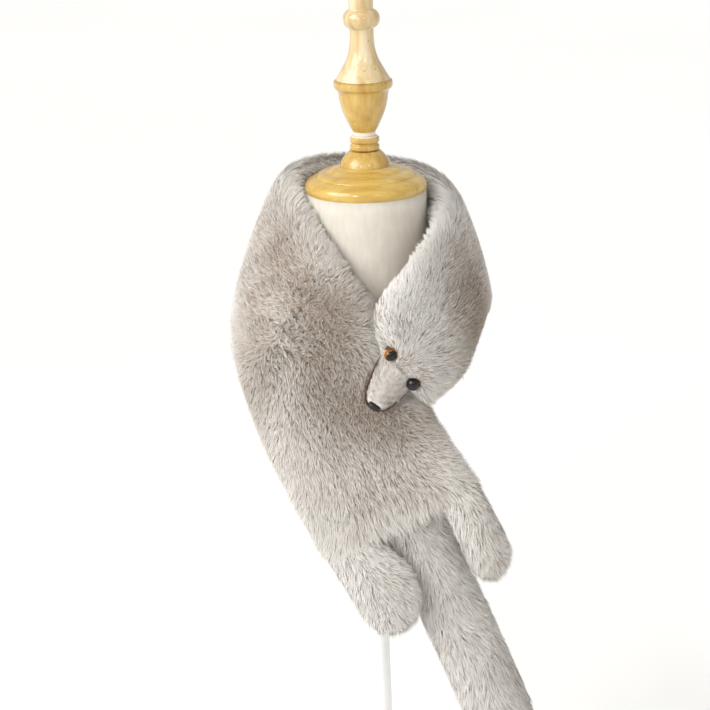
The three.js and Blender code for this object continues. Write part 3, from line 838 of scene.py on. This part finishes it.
# Where each stretch of the pelt starts and ends along the guide
STRETCHES = {"wrap_front": (0, 2.5), "wrap_left_shoulder": (2.5, 4), "wrap_nape_left": (4, 5),
             "wrap_nape_right": (5, 6), "wrap_right_shoulder": (6, 7), "wrap_right_front": (7, 8),
             "head": (8, 9)}
BODY_DEPTH = 0.0055
BODY_LENGTH = 0.0095
BODY_TONE = 0.5
FACE_DEPTH = 0.001  # by the face, and growing away from it
FACE_LENGTH = 0.0034
BARE_ROUND_EYE = 0.0064
# Along the pelt from the hem, the hair lies towards the hem (-1) or towards the head (1)
LIE_PLACES = (1.6, 3.3, 4.2, 5.2)
LIE_WAYS = (-1, 1, 1, -1)
SWING = math.radians(62)  # how far the lie turns outwards at the pelt's sides
# How hard other things pull on the lie, where the guide pulls by 1
EDGE_PULL = 0.5
HIGH_EDGE_PULL = 1.1
HEM_PULL = 0.2
WAVE_PULL = 0.18
LOCK_PULL = 0.16
DARK_LOCK_PULL = 0.3
EYE_PULL = 1.6
MUZZLE_PULL = 1.2
EYE_REACH = 0.011
MUZZLE_REACH = 0.004
FAN_MIDDLE = FACE_CENTRE + 0.012 * OFF_PELT  # the hair of the head fans out from here
FAN_REACH = 0.12
# Where the parts begin in which hair grows in a way of its own, and over how much they come in
SWING_SIDES = (0.25, 0.75)  # shares of the half width
EDGE_SIDES = (0.55, 0.4)
CALM_SIDE = (0.35, 0.3)
CLEAR_OF_CORNERS = (-1, 0.35)
HEM_END = (0, 0.45)  # along the guide
HIGH_UP = (RIM - 0.045, 0.03)  # metres
BEHIND_FRONT = (-0.055, 0.025)
SHOULDER = STRETCHES["wrap_left_shoulder"][0]
RIGHT_SIDE = STRETCHES["wrap_right_shoulder"][0]
# Painted light: how much lighter hair is made over the top edge and on the side towards the neck, which lie
# in shade; and painted sheen: how much lighter it is at the pelt's sides
TOP_EDGE_PAINTED_LIGHT = 0.3
INSIDE_PAINTED_LIGHT = 0.35
SIDES_PAINTED_SHEEN = 0.05


# A hair's lie without the part of it that leaves the skin
def laid(lie, up):
    return unit(lie - up * dot(lie, up))


# Which hairs are underwool, and how wide each hair is
def wool_and_width(rng, count, widths):
    wool = rng.uniform(size=count) < WOOL_SHARE / (1 + WOOL_SHARE)
    return wool, np.where(wool, *widths) * rng.uniform(0.75, 1.25, count)


def pelt_depth(from_face):
    return np.clip(from_face * 0.25 + FACE_DEPTH, FACE_DEPTH, BODY_DEPTH)


# Where each hair is: its offset from the guide, from -1 to 1 across the pelt, and how far it is in the
# parts where hair grows in a way of its own, from 0 to 1. The last marks say what the place does to it.
def marks_on(node, roots, up, at, low):
    marks = SimpleNamespace()
    marks.offset = dot(roots - guide_centre[at], guide_across[at])[:, 0] / guide_half[at]
    sideways = np.abs(marks.offset)
    outwards = dot(up, guide_out[at])[:, 0]
    outer_face = outwards > -0.2
    marks.inner_edge = np.clip(-dot(up, guide_across[at]), 0, 1)[:, 0]
    marks.high_up = rising(roots[:, 2], *HIGH_UP) * rising(roots[:, 1], *BEHIND_FRONT)
    marks.top_edge = marks.inner_edge * marks.high_up
    marks.edge = rising(sideways, *EDGE_SIDES) * outer_face
    marks.calm = rising(marks.offset, *CALM_SIDE) * outer_face
    by_hem = 1 - rising(guide_place[at], *HEM_END)
    marks.at_hem = by_hem * rising(-sideways, *CLEAR_OF_CORNERS) * (low == 0)
    inside = np.clip(-outwards, 0, 1) * (low >= SHOULDER)
    # Painted light and shade over the pelt, and painted light on the hair over the top edge and on the
    # inside, which lie in shade
    marks.lighter = tone_and_painted_shade(roots) + TOP_EDGE_PAINTED_LIGHT * marks.top_edge + INSIDE_PAINTED_LIGHT * inside
    marks.upright = np.clip(-2 * marks.lighter, 0, 1) * (roots[:, 0] < 0.06)
    from_fan = np.linalg.norm(roots - FAN_MIDDLE, axis=1) / FAN_REACH
    marks.fan = np.clip(1.25 - from_fan, 0, 1) * (low >= RIGHT_SIDE)
    marks.off_muzzle, gap = beside_muzzle(roots)
    by_muzzle = np.exp(-(np.maximum(gap[:, 0], 0) / MUZZLE_REACH) ** 2)
    marks.combed = by_muzzle * (up[:, 1] < 0) * (node == "wrap_front")
    return marks


# Which way the hair lies on the skin
def pelt_lie(roots, up, at, marks):
    swing = rising(np.abs(marks.offset), *SWING_SIDES) ** 1.4 * SWING * np.sign(marks.offset)
    forwards = np.interp(guide_place[at], LIE_PLACES, LIE_WAYS)
    lie = guide_along[at] * (forwards * np.cos(swing))[:, None] + guide_across[at] * np.sin(swing)[:, None]
    over_edge = (EDGE_PULL + HIGH_EDGE_PULL * marks.high_up) * marks.inner_edge
    lie -= over_edge[:, None] * guide_out[at]
    fan = marks.fan[:, None]
    lie = lie * (1 - fan) + unit(roots - FAN_MIDDLE) * fan
    lie -= HEM_PULL * marks.at_hem[:, None] * guide_out[at]
    locks = (LOCK_PULL + DARK_LOCK_PULL * marks.upright) * (1 - 0.7 * marks.calm)
    lie += WAVE_PULL * ripple(roots, 0.05, 11) + locks[:, None] * ripple(roots, 0.01, 12)
    for eye in EYES.values():
        off_eye = roots - eye
        near_eye = np.exp(-(off_eye ** 2).sum(1, keepdims=True) / EYE_REACH ** 2)
        lie += EYE_PULL * unit(off_eye) * near_eye
    lie += MUZZLE_PULL * marks.off_muzzle * marks.combed[:, None]
    return laid(lie, up)


# Hair is short by the face, the muzzle and where it stands upright, and long over the top edge and the hem
def pelt_length(rng, from_face, marks):
    count = len(from_face)
    length = np.clip(FACE_LENGTH + from_face * 0.5, FACE_LENGTH, BODY_LENGTH) * rng.uniform(0.8, 1.15, count)
    length *= (1 - 0.5 * marks.combed) * (1 - 0.36 * marks.upright)
    length *= 1 + 0.7 * marks.top_edge + 0.15 * marks.edge + 0.2 * marks.calm
    return length * (1 + 1.5 * marks.at_hem * rng.uniform(size=count))


# Hair that grows on one stretch of the pelt or on the head, thinner on the side towards the neck
def pelt_hair(node, low, high, seams, seed):
    shape, points, normals, faces = skin_of(node, seams)
    shape.free()
    facing = dot(unit(normals[faces].sum(1)), guide_out[guide_for(points[faces].mean(1), low, high)])[:, 0]
    weight = np.where(facing > -0.4, 1.0, 0.4)
    roots, up, rng = scatter(points, normals, faces, BLADES * (1 + WOOL_SHARE), weight, seed)
    at = guide_for(roots, low, high)
    marks = marks_on(node, roots, up, at, low)
    lie = pelt_lie(roots, up, at, marks)
    from_face = face_distance(roots) if node == "head" else np.ones(len(roots))
    length = pelt_length(rng, from_face, marks)
    depth = pelt_depth(from_face) * rng.uniform(0.85, 1.12, len(roots))
    wool, width = wool_and_width(rng, len(roots), PELT_WIDTHS)
    # The pelt's tone, with its painted light and shade and a painted sheen at the sides
    tone = BODY_TONE + marks.lighter + SIDES_PAINTED_SHEEN * marks.edge
    patchy = 1 - np.maximum(0.75 * marks.edge, 0.85 * marks.calm)
    kept = eye_distance(roots) > BARE_ROUND_EYE
    each = (values[kept] for values in (roots, up, lie, length, depth, width, tone, patchy, wool))
    return grow("fur_" + node, *each, body_fur, "fur")


def head_depth(point):
    return float(pelt_depth(face_distance(point[None])[0]))


def body_depth(point):
    return BODY_DEPTH


# A stretch's width across its middle, and the length of its middle line
def flat_size(low, high):
    wide = 2 * guide_half[row_at((low + high) / 2)]
    steps = np.diff(guide_centre[row_at(low):row_at(high) + 1], axis=0)
    return float(wide), float(np.linalg.norm(steps, axis=1).sum())


for order, (node, (low, high)) in enumerate(STRETCHES.items()):
    if node == "head":
        pelt_hair(node, low, high, [low], order + 1)
        down = underfur_piece("underfur_" + node, node, [low], head_depth, underfur, "fur")
    else:
        hair = pelt_hair(node, low, high, [low, high], order + 1)
        down = underfur_piece("underfur_" + node, node, [low, high], body_depth, underfur, "fur")
        flat_size(low, high)


# Paws and tail: hair lies from the hem to each tip and fans out to the sides
LIMBS = {  # length and depth of the hair, finish, slot, tone and how patchy it is
    "paw_left": (0.0145, 0.0085, body_fur, "fur", 0.58, 0.55),
    "paw_right": (0.0145, 0.0085, body_fur, "fur", 0.5, 0.9),
    "tail": (0.017, 0.0095, tail_fur, "tail_fur", 0.55, 1.3),
}
LIMB_BLADES = 1_000_000  # a square metre
LIMB_WIDTHS = (0.0011, 0.0005)
LIMB_SLICES = 7
FAN_PULL = 0.55
LIMB_WAVE_PULL = 0.2
RIGHT_SIDE_PAINTED_SHADE = 0.08  # painted shade: how much darker the hair is on the right, away from the light
HEM = guide_centre[0]
DOWN_LIMB = -guide_along[0]


# The middle line of a limb beside each root, and which way it runs there
def limb_line(points, roots):
    beyond = (points - HEM) @ DOWN_LIMB
    stops = np.linspace(beyond.min(), beyond.max() * 0.8, LIMB_SLICES)
    slice_of = np.abs(beyond[:, None] - stops).argmin(1)
    middles = np.array([points[slice_of == k].mean(0) for k in range(LIMB_SLICES)])
    along = (roots - HEM) @ DOWN_LIMB
    centre, ahead = (np.stack([np.interp(along, stops, column) for column in rows.T], 1)
                     for rows in (middles, np.gradient(middles, axis=0)))
    return centre, unit(ahead)


def dress_limb(node, limb_length, limb_depth, material, slot, tone_of, patchy, seed):
    shape, points, normals, faces = skin_of(node, [0])
    shape.free()
    weight = np.ones(len(faces))
    roots, up, rng = scatter(points, normals, faces, LIMB_BLADES * (1 + WOOL_SHARE), weight, seed)
    centre, ahead = limb_line(points, roots)
    outwards = unit(roots - centre)
    lie = ahead + FAN_PULL * outwards
    lie += LIMB_WAVE_PULL * (ripple(roots, 0.05, 21) + ripple(roots, 0.014, 22))
    length = limb_length * rng.uniform(0.75, 1.15, len(roots))
    depth = limb_depth * rng.uniform(0.85, 1.15, len(roots))
    wool, width = wool_and_width(rng, len(roots), LIMB_WIDTHS)
    # Painted shade on each limb's right side
    tone = tone_of - RIGHT_SIDE_PAINTED_SHADE * outwards[:, 0]
    grow("fur_" + node, roots, up, laid(lie, up), length, depth, width, tone,
         np.full(len(roots), patchy), wool, material, slot)
    down = underfur_piece("underfur_" + node, node, [0], lambda point: limb_depth, underfur, slot)


for order, (node, limb) in enumerate(LIMBS.items()):
    dress_limb(node, *limb, order + 31)


# The face: muzzle with a short nap, leather lip, glass eyes in their lids, and the nose
muzzle = finish_piece("muzzle", mesh_from("muzzle", softened("mask")), flock, "flock", "mask")
finish_piece("lip_edge", mesh_from("lip_edge", softened("lip")), lip_leather, "lip_leather", "lip")
left_eye = eye_finish("eye_amber", EYES["eye_left"], (0.55, -1.0, -0.36), 1.16, 0.04)
# Painted shade: the right eye, which sits in shadow, is drawn black nearly all over
right_eye = eye_finish("eye_in_painted_shade", EYES["eye_right"], (0.2, -1.0, 0.0), 1.5, 0.25)
for name, node, material, slot in (("nose_tip", "nose", nose_rubber, "nose"),
                                   ("glass_eye_left", "eye_left", left_eye, "eye"),
                                   ("glass_eye_right", "eye_right", right_eye, "eye")):
    subdivide(finish_piece(name, mesh_from(name, merged(node)), material, slot, node), 2)

NAP_PER_SQUARE_METRE = 6_000_000
NAP_LENGTH = 0.0024  # at the nose, and longer towards the eyes
NAP_WIDTH = 0.0004
NAP_TONE = 0.8
NAP_PATCHY = 1.1
LONG_BACK = 0.0035  # how much longer the nap is where the forehead's fur begins
LOW_NAP = 0.0006  # how high the nap's roots stand at the nose, and how much higher far from it
HIGH_NAP = 0.001
ROOT_DEPTH = 0.0003
BARE_ROUND_NOSE = 0.0068
BARE_BY_EYE = 0.0066
NAP_FROM = 0.0012  # the nap starts this far off the pelt


def grow_nap():
    points = np.array([v.co for v in muzzle.data.vertices])
    normals = np.array([v.normal for v in muzzle.data.vertices])
    muzzle.data.calc_loop_triangles()
    faces = np.array([t.vertices[:] for t in muzzle.data.loop_triangles])
    roots, up, rng = scatter(points, normals, faces, NAP_PER_SQUARE_METRE, np.ones(len(faces)), 51)
    nose = centre_of("nose")
    has_nap = eye_distance(roots) > BARE_BY_EYE
    has_nap &= np.linalg.norm(roots - nose, axis=1) > BARE_ROUND_NOSE
    has_nap &= (roots - FACE_CENTRE) @ OFF_PELT > NAP_FROM
    roots, up = roots[has_nap], up[has_nap]
    count = len(roots)
    lie = -TO_NOSE + 0.5 * unit(roots - FACE_CENTRE) + 0.3 * ripple(roots, 0.006, 52)
    lie = unit(lie - 0.6 * up * dot(lie, up))
    behind_nose = rising(np.linalg.norm(roots - nose, axis=1), 0, 0.05)
    at_back = 1 - rising((roots - FACE_CENTRE) @ TO_NOSE, 0, MUZZLE_MIDDLE)
    height = LOW_NAP + HIGH_NAP * behind_nose
    length = NAP_LENGTH * (1 + 1.6 * behind_nose ** 2) + LONG_BACK * at_back
    length *= rng.uniform(0.7, 1.2, count)
    tone = NAP_TONE - 0.1 * (1 - behind_nose) + 0.1 * rng.normal(size=count)
    grow("nap_muzzle", roots + up * height[:, None], up, lie, length, height + ROOT_DEPTH,
         NAP_WIDTH * (1 + 0.5 * at_back), tone, np.full(count, NAP_PATCHY), np.ones(count, bool),
         body_fur, "flock")


grow_nap()


# A round cord along a path, as rings of corners drawn out one from the next, thinner at its ends
CORD_SIDES = 12


def cord(name, path, radius, material, slot):
    shape = bmesh.new()
    bmesh.ops.create_circle(shape, cap_ends=False, segments=CORD_SIDES, radius=radius)
    shape.verts.ensure_lookup_table()
    ring = [v.co.copy() for v in shape.verts]
    ends, edges = shape.verts[:], shape.edges[:]
    for k, point in enumerate(path):
        if k:
            drawn = bmesh.ops.extrude_edge_only(shape, edges=edges)["geom"]
            ends = [g for g in drawn if isinstance(g, bmesh.types.BMVert)]
            edges = [g for g in drawn if isinstance(g, bmesh.types.BMEdge)]
        way = Vector(path[min(k + 1, len(path) - 1)] - path[max(k - 1, 0)])
        turn = way.to_track_quat("Z", "Y").to_matrix()
        taper = min(1.0, 0.4 + 0.3 * min(k, len(path) - 1 - k))
        for v, corner in zip(ends, ring):
            v.co = Vector(point) + turn @ (corner * taper)
    bmesh.ops.holes_fill(shape, edges=shape.edges[:], sides=CORD_SIDES)
    bmesh.ops.recalc_face_normals(shape, faces=shape.faces)
    finish_piece(name, mesh_from(name, shape), material, slot)


LID_RADIUS = 0.0056
LID_CORD = 0.0008
LID_FORWARD = 0.001  # ahead of the eye's centre
LID_STEPS = 24
# The right lid is dark with painted shade
LIDS = {"left": (lid_suede, 150, 300), "right": (lid_in_painted_shade, 0, 360)}  # finish, and degrees round the eye
for eye_side, (material, start, stop) in LIDS.items():
    centre = EYES["eye_" + eye_side] + OFF_PELT * LID_FORWARD
    turns = np.radians(np.linspace(start, stop, LID_STEPS))
    path = [centre + LID_RADIUS * (math.cos(t) * TO_RIGHT_EYE - math.sin(t) * TO_NOSE) for t in turns]
    cord("lid_" + eye_side, path, LID_CORD, material, "flock")

# The leather's rolled edge, which shows round the muzzle from eye to eye
ROLL = 0.0008
ROLL_STEPS = 90
ROLL_BACK = -0.0004  # the lip's outer corners are further off the pelt than this
ROLL_AHEAD = 0.020  # and either further ahead than this
ROLL_BESIDE = 0.018  # or further to the side than this
lip_corners = np.unique([np.round(v.co, 5) for v in nodes["lip"].data.vertices], axis=0)
ahead, beside, off = ((lip_corners - FACE_CENTRE) @ way for way in (TO_NOSE, TO_RIGHT_EYE, OFF_PELT))
outer = (off > ROLL_BACK) & ((ahead > ROLL_AHEAD) | (np.abs(beside) > ROLL_BESIDE))
order_round = np.argsort(np.arctan2(beside[outer], ahead[outer] - MUZZLE_MIDDLE))
roll_line = through(lip_corners[outer][order_round] + OFF_PELT * ROLL / 2, ROLL_STEPS)
cord("lip_roll", roll_line, ROLL, lip_leather, "lip_leather")
